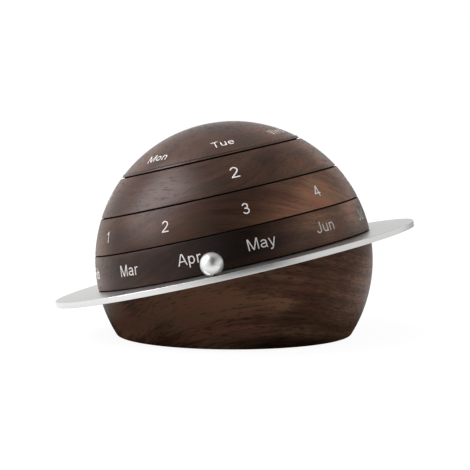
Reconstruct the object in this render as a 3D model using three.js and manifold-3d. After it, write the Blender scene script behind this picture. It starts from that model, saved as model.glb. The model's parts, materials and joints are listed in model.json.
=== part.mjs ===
// Perpetual desk calendar in the form of a ringed planet.
//
// A wooden sphere is sawn flat underneath and split by a tilted metal plate, its orbit ring. Above the
// plate four wooden layers turn on one tilted spindle: months, units of the date, tens of the date and,
// on the cap, weekdays. A small magnetic ball, the moon, sits near the edge of the steel plate.
//
// Millimetres, +Z up. The origin is the centre of the face that rests on the desk. The turning axis
// passes through the centre of the sphere and leans towards -X. Heights called "along the axis" are
// measured from the sphere's centre, which is also the plane of the plate's upper face.
import * as THREE from 'three';
import { mergeVertices } from 'three/addons/utils/BufferGeometryUtils.js';
import Module from 'manifold-3d';

const wasm = await Module();
wasm.setup();

// Planet
const SPHERE_RADIUS = 50;
const AXIS_TILT = THREE.MathUtils.degToRad(13);
const FOOT_CUT = 23.3; // height sawn off the bottom of the sphere
const BASE_CHAMFER = 1; // width taken off the flat's edge
const CHAMFER_SLOPE = THREE.MathUtils.degToRad(30); // rise of that chamfer above the desk
const SEAM = 0.4; // air between two turning layers
const EDGE_BREAK = 0.5; // softened edge of each layer

// Orbit plate
const PLATE_OVERHANG = 16; // how far the plate stands out of the sphere
const PLATE_THICKNESS = 2;
const PLATE_EDGE_BREAK = 0.3;

// Moon
const BALL_RADIUS = 4;
const BALL_EDGE_INSET = 2.5; // plate's rim in to the ball's centre
const BALL_BEARING = THREE.MathUtils.degToRad(-87);

// Spindle, bushes and thrust washers
const SPINDLE_RADIUS = 4;
const THREAD_SHOULDER = 1; // step down to the threaded ends
const THREAD_CHAMFER = 0.6;
const BUSH_WALL = 1.7;
const THRUST_WASHER_THICKNESS = 0.8;
const CAP_CROWN = 3.8; // wood left above the hole for the cap's threaded insert
const INSERT_SPARE_DEPTH = 1; // of that hole

// Hardware in the pocket under the base
const POCKET_RADIUS = 10;
const POCKET_SIDE_GAP = 1.5; // wall of the pocket to the seat washer
const POCKET_FOOT_GAP = 0.6; // hardware to the pad
const SEAT_WASHER_THICKNESS = 1;
const WAVE_THICKNESS = 0.4;
const WAVE_TRAVEL = 1.2; // crest to trough of the wave spring
const WAVE_RIM = 0.5; // its edge in from the seat washer's
const WAVE_COUNT = 3;
const NUT_WASHER_THICKNESS = 1;
const NUT_WASHER_MARGIN = 1.5; // beyond the nut's flats
const NUT_ACROSS_FLATS = 10;
const NUT_HEX_HEIGHT = 4;
const NUT_COLLAR_HEIGHT = 1.5; // nylon locking collar
const NUT_COLLAR_STEP = 0.6; // in from the flats
const THREAD_STICKOUT = 1;

// Plate screws
const SCREW_COUNT = 4;
const SCREW_CIRCLE_RADIUS = 30;
const SCREW_RADIUS = 1.5;
const SCREW_HEAD_RADIUS = 2.8;
const SCREW_HEAD_HEIGHT = 1.5;
const SCREW_LENGTH = 12;
const SCREW_SUNK = 0.2; // head below the plate's face
const HEX_KEY_RADIUS = 1.1;
const HEX_KEY_DEPTH = 1;

// Anti-slip pad
const PAD_THICKNESS = 1;
const PAD_PROUD = 0.4; // how far it stands out of the wood
const PAD_MARGIN = 4.3; // bare wood round the pad

// Clearances
const SEAT_GAP = 0.3; // between pieces that seat in or on each other
const OVERRUN = 2; // how far a cutting tool passes a face

// Smoothness
const WOOD_SEGMENTS = 60;
const PLATE_SEGMENTS = 92;
const HARDWARE_SEGMENTS = 24;
const SCREW_SEGMENTS = 16;
const BALL_RINGS = 12;
const LAYER_ARC_STEPS = 4;
const CAP_ARC_STEPS = 8;
const BASE_ARC_STEPS = 14;
const HEX_SIDES = 6;

// Places that follow from those sizes
const LAYER_NAMES = ['month', 'ones', 'tens', 'weekday'];
const LAYER_PITCH = SPHERE_RADIUS / LAYER_NAMES.length;
const PLATE_RADIUS = SPHERE_RADIUS + PLATE_OVERHANG;
const FLAT_DEPTH = SPHERE_RADIUS - FOOT_CUT;
const CENTRE_HEIGHT = PAD_PROUD + FLAT_DEPTH;
const FLAT_RADIUS = Math.sqrt(SPHERE_RADIUS ** 2 - FLAT_DEPTH ** 2);
const PAD_RADIUS = FLAT_RADIUS - PAD_MARGIN;
const RECESS_CEILING = PAD_THICKNESS + SEAT_GAP; // height above the desk
const THREAD_RADIUS = SPINDLE_RADIUS - THREAD_SHOULDER;
const BORE_RADIUS = SPINDLE_RADIUS + SEAT_GAP;
const BUSH_RADIUS = BORE_RADIUS + BUSH_WALL;
const BUSH_HOLE_RADIUS = BUSH_RADIUS + SEAT_GAP;
const THREAD_HOLE_RADIUS = THREAD_RADIUS + SEAT_GAP;
const BASE_TOP = -PLATE_THICKNESS - SEAT_GAP;
const SEAT_WASHER_RADIUS = POCKET_RADIUS - POCKET_SIDE_GAP;
const WAVE_RADIUS = SEAT_WASHER_RADIUS - WAVE_RIM;
const NUT_FLAT_RADIUS = NUT_ACROSS_FLATS / 2;
const NUT_CORNER_RADIUS = NUT_FLAT_RADIUS / Math.cos(Math.PI / HEX_SIDES);
const NUT_COLLAR_RADIUS = NUT_FLAT_RADIUS - NUT_COLLAR_STEP;
const NUT_WASHER_RADIUS = NUT_FLAT_RADIUS + NUT_WASHER_MARGIN;

// Hardware heights along the axis, from the foot of the spindle up to the roof of the pocket
const LOWEST_HARDWARE = RECESS_CEILING + POCKET_FOOT_GAP - CENTRE_HEIGHT;
const SPINDLE_FOOT = (LOWEST_HARDWARE + NUT_CORNER_RADIUS * Math.sin(AXIS_TILT)) / Math.cos(AXIS_TILT);
const NUT_BOTTOM = SPINDLE_FOOT + THREAD_STICKOUT;
const NUT_TOP = NUT_BOTTOM + NUT_COLLAR_HEIGHT + NUT_HEX_HEIGHT;
const NUT_WASHER_BOTTOM = NUT_TOP + SEAT_GAP;
const WAVE_BOTTOM = NUT_WASHER_BOTTOM + NUT_WASHER_THICKNESS + SEAT_GAP;
const SEAT_WASHER_BOTTOM = WAVE_BOTTOM + WAVE_TRAVEL + WAVE_THICKNESS + SEAT_GAP;
const POCKET_ROOF = SEAT_WASHER_BOTTOM + SEAT_WASHER_THICKNESS + SEAT_GAP;

// Height along the axis of the plane between layer i - 1, or the plate, and layer i.
const seamHeight = (i) => i * LAYER_PITCH;
const washerTop = (i) => seamHeight(i) + THRUST_WASHER_THICKNESS / 2;
const washerBottom = (i) => seamHeight(i) - THRUST_WASHER_THICKNESS / 2;

// Hole in the cap and the insert in it
const CAP_HOLE_TOP = SPHERE_RADIUS - CAP_CROWN;
const INSERT_TOP = CAP_HOLE_TOP - INSERT_SPARE_DEPTH;
const INSERT_BOTTOM = washerTop(LAYER_NAMES.length - 1) + SEAT_GAP;

// Radius of the sphere at a height along any line through its centre.
const sphereRadiusAt = (height) => Math.sqrt(Math.max(SPHERE_RADIUS ** 2 - height ** 2, 0));

const material = (color, roughness, metalness) =>
  new THREE.MeshStandardMaterial({ color, roughness, metalness });
const walnut = material('#4b372d', 0.5, 0);
const plateSteel = material('#c4c5c5', 0.42, 1);
const ballSteel = material('#cfd1d0', 0.3, 1);
const spindleSteel = material('#a9abad', 0.3, 1);
const brass = material('#b08d4a', 0.35, 1);
const nylon = material('#e4e2da', 0.6, 0);
const padRubber = material('#26221f', 0.9, 0);

// A solid of revolution about +Z. The profile is a list of [radius, height] points, anticlockwise with
// the radius to the right. It starts and ends on the axis, or is closed here if it stands clear of it.
function turned(profile, segments) {
  const points = profile.map(([radius, height]) => new THREE.Vector2(radius, height));
  if (profile[0][0] > 0) points.push(points[0].clone());
  return new THREE.LatheGeometry(points, segments).rotateX(Math.PI / 2);
}

// A plain washer, bush or sleeve round the axis.
function sleeve(innerRadius, outerRadius, bottom, top, segments = HARDWARE_SEGMENTS) {
  return turned(
    [
      [innerRadius, bottom],
      [outerRadius, bottom],
      [outerRadius, top],
      [innerRadius, top],
    ],
    segments,
  );
}

// A solid cylinder on the axis.
function rod(radius, bottom, top, segments = HARDWARE_SEGMENTS) {
  return turned(
    [
      [0, bottom],
      [radius, bottom],
      [radius, top],
      [0, top],
    ],
    segments,
  );
}

// Profile points along the sphere's surface between two heights, at equal steps of latitude.
function sphereArc(fromHeight, toHeight, steps) {
  const from = Math.asin(fromHeight / SPHERE_RADIUS);
  const to = Math.asin(toHeight / SPHERE_RADIUS);
  return Array.from({ length: steps + 1 }, (_, i) => {
    const latitude = from + ((to - from) * i) / steps;
    const height = SPHERE_RADIUS * Math.sin(latitude);
    return [sphereRadiusAt(height), height];
  });
}

// Solids for joining and cutting, and back to geometry
function solidOf(geometry) {
  const bare = geometry.index ? geometry.toNonIndexed() : geometry.clone();
  bare.deleteAttribute('normal');
  bare.deleteAttribute('uv');
  const merged = mergeVertices(bare);
  return new wasm.Manifold(
    new wasm.Mesh({
      numProp: 3,
      vertProperties: merged.attributes.position.array,
      triVerts: new Uint32Array(merged.index.array),
    }),
  );
}

function geometryOf(solid) {
  const { vertProperties, triVerts } = solid.getMesh();
  const geometry = new THREE.BufferGeometry();
  geometry.setAttribute('position', new THREE.BufferAttribute(vertProperties, 3));
  geometry.setIndex(new THREE.BufferAttribute(triVerts, 1));
  geometry.computeVertexNormals();
  return geometry;
}

function cut(geometry, ...tools) {
  return geometryOf(tools.reduce((left, tool) => left.subtract(solidOf(tool)), solidOf(geometry)));
}

// The groups: the desk frame, the tilted frame of the axis, and one group for each thing that turns
const calendar = new THREE.Group();
const axisFrame = new THREE.Group();
axisFrame.position.z = CENTRE_HEIGHT;
axisFrame.rotation.y = -AXIS_TILT;
calendar.add(axisFrame);
axisFrame.updateMatrixWorld(true);
const deskToAxis = axisFrame.matrixWorld.clone().invert();

function addMesh(group, name, geometry, meshMaterial) {
  const mesh = new THREE.Mesh(geometry, meshMaterial);
  mesh.name = name;
  group.add(mesh);
  return mesh;
}

// Screws of the plate: bearings about the axis, and one screw standing on the axis for each to copy
const SCREW_STEP = (2 * Math.PI) / SCREW_COUNT;
const screwBearings = Array.from({ length: SCREW_COUNT }, (_, i) => (i + 1 / 2) * SCREW_STEP);
const HEAD_TOP = -SCREW_SUNK;

function onScrewCircle(geometry, bearing) {
  return geometry.translate(
    SCREW_CIRCLE_RADIUS * Math.cos(bearing),
    SCREW_CIRCLE_RADIUS * Math.sin(bearing),
    0,
  );
}

function plateScrew() {
  const shank = turned(
    [
      [0, HEAD_TOP - SCREW_LENGTH],
      [SCREW_RADIUS / 2, HEAD_TOP - SCREW_LENGTH],
      [SCREW_RADIUS, HEAD_TOP - SCREW_LENGTH + SCREW_RADIUS],
      [SCREW_RADIUS, HEAD_TOP - SCREW_HEAD_HEIGHT],
      [SCREW_HEAD_RADIUS, HEAD_TOP],
      [0, HEAD_TOP],
    ],
    SCREW_SEGMENTS,
  );
  return cut(shank, rod(HEX_KEY_RADIUS, HEAD_TOP - HEX_KEY_DEPTH, HEAD_TOP + OVERRUN, HEX_SIDES));
}

function screwClearance() {
  const holeRadius = SCREW_RADIUS + SEAT_GAP;
  const sinkRadius = SCREW_HEAD_RADIUS + SEAT_GAP;
  return turned(
    [
      [0, HEAD_TOP - SCREW_LENGTH - SEAT_GAP],
      [holeRadius, HEAD_TOP - SCREW_LENGTH - SEAT_GAP],
      [holeRadius, HEAD_TOP - SCREW_HEAD_HEIGHT],
      [sinkRadius, HEAD_TOP],
      [sinkRadius, OVERRUN],
      [0, OVERRUN],
    ],
    SCREW_SEGMENTS,
  );
}

// Base: the lower part of the sphere, with the sawn flat, the pad's recess and the nut's pocket
function baseBody() {
  const lowerSphere = turned(
    [
      ...sphereArc(-SPHERE_RADIUS, BASE_TOP - EDGE_BREAK, BASE_ARC_STEPS),
      [sphereRadiusAt(BASE_TOP) - EDGE_BREAK, BASE_TOP],
      [0, BASE_TOP],
    ],
    WOOD_SEGMENTS,
  );
  const outerRadius = SPHERE_RADIUS + OVERRUN;
  const chamferFoot = FLAT_RADIUS - BASE_CHAMFER;
  const chamferRise = (outerRadius - chamferFoot) * Math.tan(CHAMFER_SLOPE);
  const aboveFlat = turned(
    [
      [0, PAD_PROUD],
      [chamferFoot, PAD_PROUD],
      [outerRadius, PAD_PROUD + chamferRise],
      [outerRadius, CENTRE_HEIGHT + outerRadius],
      [0, CENTRE_HEIGHT + outerRadius],
    ],
    WOOD_SEGMENTS,
  ).applyMatrix4(deskToAxis);
  const padRecess = rod(PAD_RADIUS + SEAT_GAP, -OVERRUN, RECESS_CEILING, WOOD_SEGMENTS);
  const body = solidOf(lowerSphere).intersect(solidOf(aboveFlat));
  return cut(
    geometryOf(body),
    padRecess.applyMatrix4(deskToAxis),
    rod(POCKET_RADIUS, -SPHERE_RADIUS, POCKET_ROOF),
    rod(BUSH_HOLE_RADIUS, POCKET_ROOF - OVERRUN, OVERRUN),
    ...screwBearings.map((bearing) => onScrewCircle(screwClearance(), bearing)),
  );
}

addMesh(axisFrame, 'base_body', baseBody(), walnut);
addMesh(calendar, 'base_pad', rod(PAD_RADIUS, 0, PAD_THICKNESS, WOOD_SEGMENTS), padRubber);

// Orbit plate, clamped to the base by countersunk screws under the month layer
const plateBlank = turned(
  [
    [BUSH_HOLE_RADIUS, -PLATE_THICKNESS],
    [PLATE_RADIUS - PLATE_EDGE_BREAK, -PLATE_THICKNESS],
    [PLATE_RADIUS, -PLATE_THICKNESS + PLATE_EDGE_BREAK],
    [PLATE_RADIUS, -PLATE_EDGE_BREAK],
    [PLATE_RADIUS - PLATE_EDGE_BREAK, 0],
    [BUSH_HOLE_RADIUS, 0],
  ],
  PLATE_SEGMENTS,
);
const plateHoles = screwBearings.map((bearing) => onScrewCircle(screwClearance(), bearing));
addMesh(axisFrame, 'orbit_plate', cut(plateBlank, ...plateHoles), plateSteel);
screwBearings.forEach((bearing, i) => {
  addMesh(axisFrame, `plate_screw_${i + 1}`, onScrewCircle(plateScrew(), bearing), spindleSteel);
});

// Bush and thrust washer that stay in the base
function bush(bottom, top) {
  return sleeve(BORE_RADIUS, BUSH_RADIUS, bottom, top);
}

function thrustWasher(i) {
  return sleeve(BORE_RADIUS, BUSH_RADIUS, washerBottom(i), washerTop(i));
}

addMesh(axisFrame, 'base_bush', bush(POCKET_ROOF, washerBottom(0) - SEAT_GAP), brass);
addMesh(axisFrame, 'base_thrust_washer', thrustWasher(0), nylon);

// Washer and wave spring that press up on the roof of the pocket
function threadWasher(radius, bottom, thickness) {
  return sleeve(THREAD_HOLE_RADIUS, radius, bottom, bottom + thickness);
}

addMesh(
  axisFrame,
  'seat_washer',
  threadWasher(SEAT_WASHER_RADIUS, SEAT_WASHER_BOTTOM, SEAT_WASHER_THICKNESS),
  spindleSteel,
);

// A flat ring whose height follows a cosine, WAVE_COUNT waves to the turn.
function waveSpring() {
  const ring = sleeve(BORE_RADIUS, WAVE_RADIUS, 0, WAVE_THICKNESS, 2 * HARDWARE_SEGMENTS);
  const positions = ring.attributes.position;
  for (let i = 0; i < positions.count; i += 1) {
    const bearing = Math.atan2(positions.getY(i), positions.getX(i));
    const lift = (WAVE_TRAVEL / 2) * (1 + Math.cos(WAVE_COUNT * bearing));
    positions.setZ(i, positions.getZ(i) + WAVE_BOTTOM + lift);
  }
  return ring;
}
addMesh(axisFrame, 'wave_spring', waveSpring(), spindleSteel);

// Turning layers: wood, a pressed-in bush and the thrust washer on which the next layer turns
function layerRing(bottom, top) {
  return turned(
    [
      [BUSH_HOLE_RADIUS, bottom],
      [sphereRadiusAt(bottom) - EDGE_BREAK, bottom],
      ...sphereArc(bottom + EDGE_BREAK, top - EDGE_BREAK, LAYER_ARC_STEPS),
      [sphereRadiusAt(top) - EDGE_BREAK, top],
      [BUSH_HOLE_RADIUS, top],
    ],
    WOOD_SEGMENTS,
  );
}

const ringNames = LAYER_NAMES.slice(0, -1);
ringNames.forEach((name, i) => {
  const layer = new THREE.Group();
  axisFrame.add(layer);
  const bottom = seamHeight(i) + (i === 0 ? SEAM : SEAM / 2);
  const top = seamHeight(i + 1) - SEAM / 2;
  addMesh(layer, `${name}_ring`, layerRing(bottom, top), walnut);
  addMesh(layer, `${name}_bush`, bush(washerTop(i) + SEAT_GAP, washerBottom(i + 1) - SEAT_GAP), brass);
  addMesh(layer, `${name}_washer`, thrustWasher(i + 1), nylon);
});

// Weekday cap, which carries the spindle round with it
const capLayer = new THREE.Group();
axisFrame.add(capLayer);

function weekdayCap() {
  const bottom = seamHeight(LAYER_NAMES.length - 1) + SEAM / 2;
  return turned(
    [
      [0, CAP_HOLE_TOP],
      [BUSH_HOLE_RADIUS, CAP_HOLE_TOP],
      [BUSH_HOLE_RADIUS, bottom],
      [sphereRadiusAt(bottom) - EDGE_BREAK, bottom],
      ...sphereArc(bottom + EDGE_BREAK, SPHERE_RADIUS, CAP_ARC_STEPS),
    ],
    WOOD_SEGMENTS,
  );
}

function spindle() {
  const shoulderTop = INSERT_BOTTOM - SEAT_GAP;
  const tip = INSERT_TOP - SEAT_GAP;
  return turned(
    [
      [0, SPINDLE_FOOT],
      [THREAD_RADIUS - THREAD_CHAMFER, SPINDLE_FOOT],
      [THREAD_RADIUS, SPINDLE_FOOT + THREAD_CHAMFER],
      [THREAD_RADIUS, POCKET_ROOF],
      [SPINDLE_RADIUS, POCKET_ROOF],
      [SPINDLE_RADIUS, shoulderTop],
      [THREAD_RADIUS, shoulderTop],
      [THREAD_RADIUS, tip - THREAD_CHAMFER],
      [THREAD_RADIUS - THREAD_CHAMFER, tip],
      [0, tip],
    ],
    HARDWARE_SEGMENTS,
  );
}

// Hexagon nut with a round locking collar, which faces down.
function lockNut() {
  const hexagon = rod(NUT_CORNER_RADIUS, NUT_BOTTOM + NUT_COLLAR_HEIGHT, NUT_TOP, HEX_SIDES);
  const collar = rod(NUT_COLLAR_RADIUS, NUT_BOTTOM, NUT_TOP - NUT_HEX_HEIGHT / 2);
  const blank = geometryOf(solidOf(hexagon).add(solidOf(collar)));
  return cut(blank, rod(THREAD_HOLE_RADIUS, NUT_BOTTOM - OVERRUN, NUT_TOP + OVERRUN));
}

addMesh(capLayer, 'weekday_cap', weekdayCap(), walnut);
addMesh(
  capLayer,
  'cap_insert',
  sleeve(THREAD_HOLE_RADIUS, BUSH_RADIUS, INSERT_BOTTOM, INSERT_TOP),
  brass,
);
addMesh(capLayer, 'spindle', spindle(), spindleSteel);
addMesh(
  capLayer,
  'nut_washer',
  threadWasher(NUT_WASHER_RADIUS, NUT_WASHER_BOTTOM, NUT_WASHER_THICKNESS),
  spindleSteel,
);
addMesh(capLayer, 'lock_nut', lockNut(), spindleSteel);

// Moon, standing on the plate near its rim
const orbit = new THREE.Group();
orbit.rotation.z = BALL_BEARING;
axisFrame.add(orbit);
const moon = addMesh(
  orbit,
  'moon_ball',
  new THREE.SphereGeometry(BALL_RADIUS, 2 * BALL_RINGS, BALL_RINGS),
  ballSteel,
);
moon.position.set(PLATE_RADIUS - BALL_EDGE_INSET, 0, BALL_RADIUS + SEAT_GAP);

export default calendar;
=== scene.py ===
import json
import math

import bpy
from mathutils import Matrix, Vector
from mathutils.geometry import delaunay_2d_cdt


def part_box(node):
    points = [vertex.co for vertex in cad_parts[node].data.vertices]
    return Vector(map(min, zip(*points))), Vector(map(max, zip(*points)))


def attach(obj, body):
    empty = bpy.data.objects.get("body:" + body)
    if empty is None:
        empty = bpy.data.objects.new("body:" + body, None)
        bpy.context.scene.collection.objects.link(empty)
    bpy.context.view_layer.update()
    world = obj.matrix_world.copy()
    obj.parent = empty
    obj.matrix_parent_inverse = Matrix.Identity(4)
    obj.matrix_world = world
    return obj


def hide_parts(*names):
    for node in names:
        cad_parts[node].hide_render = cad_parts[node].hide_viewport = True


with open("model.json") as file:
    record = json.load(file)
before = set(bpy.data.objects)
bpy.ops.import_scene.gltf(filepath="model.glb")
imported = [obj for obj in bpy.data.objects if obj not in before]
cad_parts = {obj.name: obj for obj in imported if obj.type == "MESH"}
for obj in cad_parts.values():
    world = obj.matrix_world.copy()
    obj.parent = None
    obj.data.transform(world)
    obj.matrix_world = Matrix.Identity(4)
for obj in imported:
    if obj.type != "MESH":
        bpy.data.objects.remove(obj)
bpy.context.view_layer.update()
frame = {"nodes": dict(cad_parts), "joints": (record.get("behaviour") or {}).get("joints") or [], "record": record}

MM = 0.001

# Planet
SPHERE_RADIUS = 50 * MM
LAYER_NAMES = ("month", "ones", "tens", "weekday")
LAYER_PITCH = SPHERE_RADIUS / len(LAYER_NAMES)
SEAM = 0.4 * MM
SEAM_ROUND = 0.18 * MM
RIB_INSET = 1.0 * MM
RIB_WIDTH = 3 * MM
RIB_CLEARANCE = 0.3 * MM
GROOVE_DEPTH = 1 * MM
FOOT_ROUND = 0.9 * MM
BUSH_HOLE_RADIUS = 6.3 * MM
POCKET_RADIUS = 10 * MM
CAP_HOLE_DEPTH = 3.8 * MM
CONTACT_GAP = 0.02 * MM

# Plate, ball and pad
PLATE_RADIUS = 66 * MM
PLATE_THICKNESS = 2 * MM
PLATE_ROUND = 0.12 * MM
BALL_RADIUS = 4 * MM
BALL_FOOT_RADIUS = 0.25 * MM
BALL_ORBIT_RADIUS = 63.5 * MM
BALL_BEARING = math.radians(-87)
PAD_THICKNESS = 1 * MM
PAD_PROUD = 0.4 * MM
PAD_ROUND = 0.3 * MM
PAD_SEAT = 0.3 * MM

# Plate screws, whose holes the plate and the base carry
SCREW_COUNT = 4
SCREW_CIRCLE_RADIUS = 30 * MM
SCREW_HOLE_RADIUS = 1.8 * MM
SCREW_SINK_RADIUS = 3.1 * MM
SCREW_HEAD_TOP = -0.2 * MM
SCREW_HEAD_HEIGHT = 1.5 * MM
SCREW_HOLE_DEPTH = 12.5 * MM
OVERRUN = 2 * MM

# Smoothness
AROUND = 240
SMALL_AROUND = 96
ROUND_STEPS = 6
BASE_STEPS = 40
ARC_STEP = math.radians(1.5)
SHARP_ANGLE = math.radians(32)

# The turning axis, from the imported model: the sphere's centre and a frame that leans with the axis
turn = next(j for j in frame["joints"] if j["name"] == "month_turn")
CENTRE = Vector(turn["pos_m"])
AXIS = Vector(turn["axis"]).normalized()
BACK = Vector((0, 1, 0))
ACROSS = BACK.cross(AXIS)
TO_DESK = Matrix.Translation(CENTRE) @ Matrix((ACROSS, BACK, AXIS)).transposed().to_4x4()
TO_AXIS = TO_DESK.inverted()
FLAT_DEPTH = CENTRE.z - PAD_PROUD
PAD_RADIUS = (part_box("base_pad")[1].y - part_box("base_pad")[0].y) / 2
POCKET_ROOF = (TO_AXIS @ Vector(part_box("base_bush")[0])).z


# Meshes
def finish_mesh(name, vertices, faces, place=TO_DESK):
    """A smooth-shaded object with sharp creases kept, its mesh moved to its place in the desk's frame."""
    mesh = bpy.data.meshes.new(name)
    mesh.from_pydata([tuple(v) for v in vertices], [], faces)
    mesh.transform(place)
    mesh.validate()
    for polygon in mesh.polygons:
        polygon.use_smooth = True
    mesh.set_sharp_from_angle(angle=SHARP_ANGLE)
    piece = bpy.data.objects.new(name, mesh)
    bpy.context.scene.collection.objects.link(piece)
    return piece


def skin(rings, closed):
    """Vertices and faces of a surface through rings of points. A ring of one point is a pole."""
    vertices = []
    index = []
    for ring in rings:
        start = len(vertices)
        vertices += ring
        index.append(list(range(start, len(vertices))))
    around = max(len(ring) for ring in rings)
    pairs = list(zip(index, index[1:] + index[:1] if closed else index[1:]))
    faces = []
    for lower, upper in pairs:
        for i in range(around):
            j = (i + 1) % around
            lower_edge = [lower[i % len(lower)], lower[j % len(lower)]]
            upper_edge = [upper[j % len(upper)], upper[i % len(upper)]]
            face = list(dict.fromkeys(lower_edge + upper_edge))
            if len(face) > 2:
                faces.append(face)
    return vertices, faces


def circle(radius, height, count):
    """A level ring of points, or the one point of a pole."""
    if radius <= 0:
        return [Vector((0, 0, height))]
    step = math.tau / count
    return [Vector((radius * math.cos(i * step), radius * math.sin(i * step), height)) for i in range(count)]


def turned(name, profile, count=AROUND, place=TO_DESK):
    """A solid of revolution. The profile of (radius, height) runs anticlockwise, radius to the right."""
    closed = profile[0][0] > 0
    return finish_mesh(name, *skin([circle(r, z, count) for r, z in profile], closed), place)


def arc(centre_radius, centre_height, radius, start, end, steps=ROUND_STEPS):
    """Points (radius, height) along an arc of a profile."""
    angles = [start + (end - start) * i / steps for i in range(steps + 1)]
    return [(centre_radius + radius * math.cos(a), centre_height + radius * math.sin(a)) for a in angles]


def sphere_arc(start, end):
    """Points along the sphere's outline between two latitudes, without the end points."""
    steps = max(2, round(abs(end - start) / ARC_STEP))
    return arc(0, 0, SPHERE_RADIUS, start, end, steps)[1:-1]


def edge_centre(height, size):
    """Centre of the rounding that meets both the sphere and a flat face just beyond that height."""
    return math.sqrt((SPHERE_RADIUS - size) ** 2 - height**2), height


def groove(bottom):
    """A groove in a layer's underside, for the rib of the layer below."""
    outer = math.sqrt(SPHERE_RADIUS**2 - (bottom - SEAM / 2) ** 2) - RIB_INSET
    inner = outer - RIB_WIDTH
    roof = bottom + GROOVE_DEPTH
    return [(inner, bottom), (inner, roof), (outer, roof), (outer, bottom)]


def rib(top):
    """The rib on a layer's top that runs in the groove above it and lets no light through the seam."""
    outer = math.sqrt(SPHERE_RADIUS**2 - (top + SEAM / 2) ** 2) - RIB_INSET - RIB_CLEARANCE
    inner = outer - RIB_WIDTH + 2 * RIB_CLEARANCE
    crest = top + SEAM + GROOVE_DEPTH - RIB_CLEARANCE
    return [(outer, top), (outer, crest), (inner, crest), (inner, top)]


def layer_profile(bottom, top, has_groove):
    """Outline of a layer with rounded rims and a plain bore."""
    low = edge_centre(bottom + SEAM_ROUND, SEAM_ROUND)
    high = edge_centre(top - SEAM_ROUND, SEAM_ROUND)
    low_latitude = math.atan2(low[1], low[0])
    high_latitude = math.atan2(high[1], high[0])
    return [
        (BUSH_HOLE_RADIUS, bottom),
        *(groove(bottom) if has_groove else []),
        *arc(*low, SEAM_ROUND, -math.pi / 2, low_latitude),
        *sphere_arc(low_latitude, high_latitude),
        *arc(*high, SEAM_ROUND, high_latitude, math.pi / 2),
        *rib(top),
        (BUSH_HOLE_RADIUS, top),
    ]


def cap_profile(bottom):
    """Outline of the weekday cap, closed over a blind hole."""
    hole_top = SPHERE_RADIUS - CAP_HOLE_DEPTH
    low = edge_centre(bottom + SEAM_ROUND, SEAM_ROUND)
    low_latitude = math.atan2(low[1], low[0])
    return [
        (0, hole_top),
        (BUSH_HOLE_RADIUS, hole_top),
        (BUSH_HOLE_RADIUS, bottom),
        *groove(bottom),
        *arc(*low, SEAM_ROUND, -math.pi / 2, low_latitude),
        *sphere_arc(low_latitude, math.pi / 2),
        (0, SPHERE_RADIUS),
    ]


def box_profile(inner, outer, bottom, top, size):
    """Outline of a disc or ring whose outer rims are rounded."""
    return [
        (inner, bottom),
        *arc(outer - size, bottom + size, size, -math.pi / 2, 0),
        *arc(outer - size, top - size, size, 0, math.pi / 2),
        (inner, top),
    ]


def cut_screw_holes(piece):
    """Takes the countersunk holes of the plate screws out of a piece."""
    profile = [
        (0, SCREW_HEAD_TOP - SCREW_HOLE_DEPTH),
        (SCREW_HOLE_RADIUS, SCREW_HEAD_TOP - SCREW_HOLE_DEPTH),
        (SCREW_HOLE_RADIUS, SCREW_HEAD_TOP - SCREW_HEAD_HEIGHT),
        (SCREW_SINK_RADIUS, SCREW_HEAD_TOP),
        (SCREW_SINK_RADIUS, OVERRUN),
        (0, OVERRUN),
    ]
    for i in range(SCREW_COUNT):
        bearing = (i + 1 / 2) * math.tau / SCREW_COUNT
        at = Vector((math.cos(bearing), math.sin(bearing), 0)) * SCREW_CIRCLE_RADIUS
        cutter = turned("cutter", profile, SMALL_AROUND // 4, TO_DESK @ Matrix.Translation(at))
        modifier = piece.modifiers.new("screw_hole", "BOOLEAN")
        modifier.object = cutter
        modifier.solver = "EXACT"
        bpy.context.view_layer.update()
        evaluated = piece.evaluated_get(bpy.context.evaluated_depsgraph_get())
        cut_mesh = bpy.data.meshes.new_from_object(evaluated)
        piece.modifiers.clear()
        piece.data = cut_mesh
        bpy.data.objects.remove(cutter)
    piece.data.name = piece.name
    piece.data.set_sharp_from_angle(angle=SHARP_ANGLE)
    return piece


def base_rings():
    """The base's surface as rings of points: a sphere between the leaning plate and the level flat."""
    top = -PLATE_THICKNESS - CONTACT_GAP
    shoulder = edge_centre(top - SEAM_ROUND, SEAM_ROUND)
    shoulder_latitude = math.atan2(shoulder[1], shoulder[0])
    foot = edge_centre(-FLAT_DEPTH + FOOT_ROUND, FOOT_ROUND)
    foot_latitude = math.atan2(foot[1], foot[0])
    level = Matrix.Translation(CENTRE)
    pad_hole = PAD_RADIUS + PAD_SEAT
    ceiling = PAD_THICKNESS + PAD_SEAT

    def leaning(points):
        return [circle(r, z, AROUND) for r, z in points]

    def upright(points):
        return [[TO_AXIS @ level @ p for p in circle(r, z, AROUND)] for r, z in points]

    pocket_mouth = []
    for p in circle(POCKET_RADIUS, 0, AROUND):
        # Down the pocket's wall to the level ceiling of the pad's recess
        drop = ((TO_DESK @ p).z - ceiling) / AXIS.z
        pocket_mouth.append(p - Vector((0, 0, drop)))

    upper_rim = leaning(arc(*shoulder, SEAM_ROUND, shoulder_latitude, math.pi / 2))
    lower_rim = upright(arc(*foot, FOOT_ROUND, -math.pi / 2, foot_latitude, 2 * ROUND_STEPS))
    between = []
    for k in range(1, BASE_STEPS):
        pairs = zip(lower_rim[-1], upper_rim[0])
        ring = [a.slerp(b, k / BASE_STEPS).normalized() * SPHERE_RADIUS for a, b in pairs]
        between.append(ring)
    return [
        *leaning([(BUSH_HOLE_RADIUS, POCKET_ROOF), (POCKET_RADIUS, POCKET_ROOF)]),
        pocket_mouth,
        *upright([(pad_hole, ceiling - CENTRE.z), (pad_hole, -FLAT_DEPTH)]),
        *lower_rim,
        *between,
        *upper_rim,
        *leaning([(BUSH_HOLE_RADIUS, top)]),
    ]


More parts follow.
